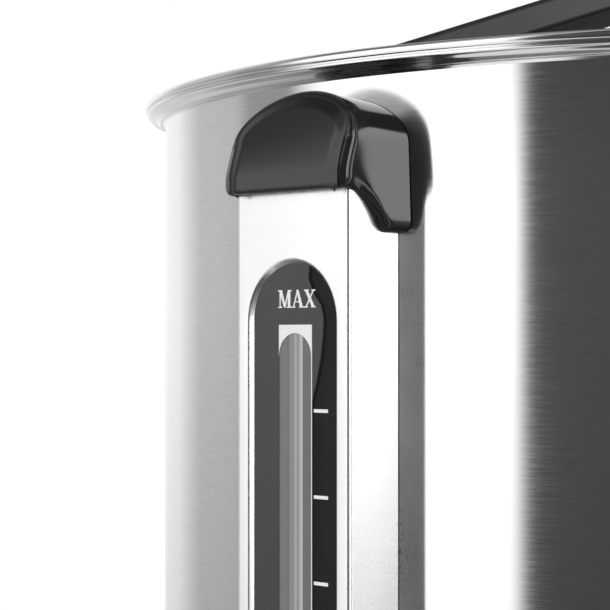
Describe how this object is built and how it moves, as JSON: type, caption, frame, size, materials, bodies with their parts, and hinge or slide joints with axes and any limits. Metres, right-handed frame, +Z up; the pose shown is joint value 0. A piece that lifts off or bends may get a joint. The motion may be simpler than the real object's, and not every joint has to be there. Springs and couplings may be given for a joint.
{
  "type": "electric brew kettle",
  "caption": "Tall round stainless brew kettle with a rolled rim, sight gauge, lever tap, strap-handled lid and a dark base with controls.",
  "frame": {"origin": "centre of the footprint on the ground, under the feet", "axes": "+Z up along the vessel's axis, -Y towards the tap and gauge, +X to the right of someone who faces the tap"},
  "size_m": [0.434, 0.4472, 0.4995],
  "materials": {
    "brushed_stainless": "brushed",
    "polished_stainless": "polished",
    "gloss_black": "gloss",
    "satin_black": "satin",
    "clear_tube": "clear",
    "silicone": "matte",
    "foot_rubber": "matte",
    "bare_aluminium": "satin",
    "heater_sheath": "satin",
    "brass": "satin",
    "rocker_red": "gloss",
    "lamp_red": "gloss",
    "lamp_green": "gloss",
    "terminal_white": "matte",
    "wire_brown": "satin",
    "wire_green": "satin",
    "wire_blue": "satin"
  },
  "bodies": {
    "kettle_part": {"vessel": "brushed_stainless", "gauge_cover": "brushed_stainless", "fascia_plate": "brushed_stainless", "tap_tee": "polished_stainless", "tap_nut": "polished_stainless", "tap_spring": "polished_stainless", "handle_screw_1": "polished_stainless", "handle_screw_2": "polished_stainless", "handle_screw_3": "polished_stainless", "handle_screw_4": "polished_stainless", "gauge_face": "gloss_black", "gauge_hood": "gloss_black", "gauge_foot": "gloss_black", "tap_body": "gloss_black", "tap_bonnet": "gloss_black", "base_housing": "satin_black", "dry_boil_cutout": "satin_black", "switch_frame": "satin_black", "mains_inlet": "satin_black", "handle_left": "satin_black", "handle_right": "satin_black", "sight_tube": "clear_tube", "gauge_lens": "clear_tube", "tube_seal_top": "silicone", "tube_seal_bottom": "silicone", "tap_washer_outer": "silicone", "tap_washer_inner": "silicone", "foot_1": "foot_rubber", "foot_2": "foot_rubber", "foot_3": "foot_rubber", "foot_4": "foot_rubber", "bottom_plate": "bare_aluminium", "tie_bolt_1": "bare_aluminium", "tie_bolt_2": "bare_aluminium", "tie_bolt_3": "bare_aluminium", "heater_plate": "bare_aluminium", "thermostat_body": "bare_aluminium", "heating_element": "heater_sheath", "thermostat_capillary": "brass", "inlet_pin_1": "brass", "inlet_pin_2": "brass", "inlet_pin_3": "brass", "lamp_heating": "lamp_red", "lamp_ready": "lamp_green", "terminal_block": "terminal_white", "lead_live": "wire_brown", "lead_earth": "wire_green", "lead_neutral": "wire_blue"},
    "lid_part": {"lid": "brushed_stainless", "lid_handle": "gloss_black", "lid_screw_1": "polished_stainless", "lid_screw_2": "polished_stainless"},
    "knob_part": {"thermostat_knob": "gloss_black", "thermostat_shaft": "bare_aluminium"},
    "rocker_part": {"switch_rocker": "rocker_red"},
    "stem_part": {"valve_stem": "polished_stainless", "valve_cup": "silicone", "lever_pin": "polished_stainless"},
    "lever_part": {"tap_lever": "gloss_black"}
  },
  "joints": [
    {"name": "lid_lift", "type": "slide", "parent": "kettle_part", "child": "lid_part", "axis": [0, 0, 1], "range_m": [0, 0.15]},
    {"name": "knob_turn", "type": "hinge", "parent": "kettle_part", "child": "knob_part", "pos_m": [0.044, -0.156, 0.044], "axis": [0, 1, 0], "range_deg": [0, 270]},
    {"name": "rocker_tilt", "type": "hinge", "parent": "kettle_part", "child": "rocker_part", "pos_m": [-0.046, -0.1446, 0.044], "axis": [1, 0, 0], "range_deg": [-16, 0]},
    {"name": "stem_lift", "type": "slide", "parent": "kettle_part", "child": "stem_part", "axis": [0, 0, 1], "range_m": [0, 0.0034], "stiffness_N_per_m": 1200, "springref_m": -0.002},
    {"name": "lever_pull", "type": "hinge", "parent": "stem_part", "child": "lever_part", "pos_m": [0, -0.186, 0.1403], "axis": [1, 0, 0], "range_deg": [0, 40]}
  ],
  "couplings": [
    {"joint": "lever_pull", "follows": "stem_lift", "rad_per_m": 205}
  ]
}
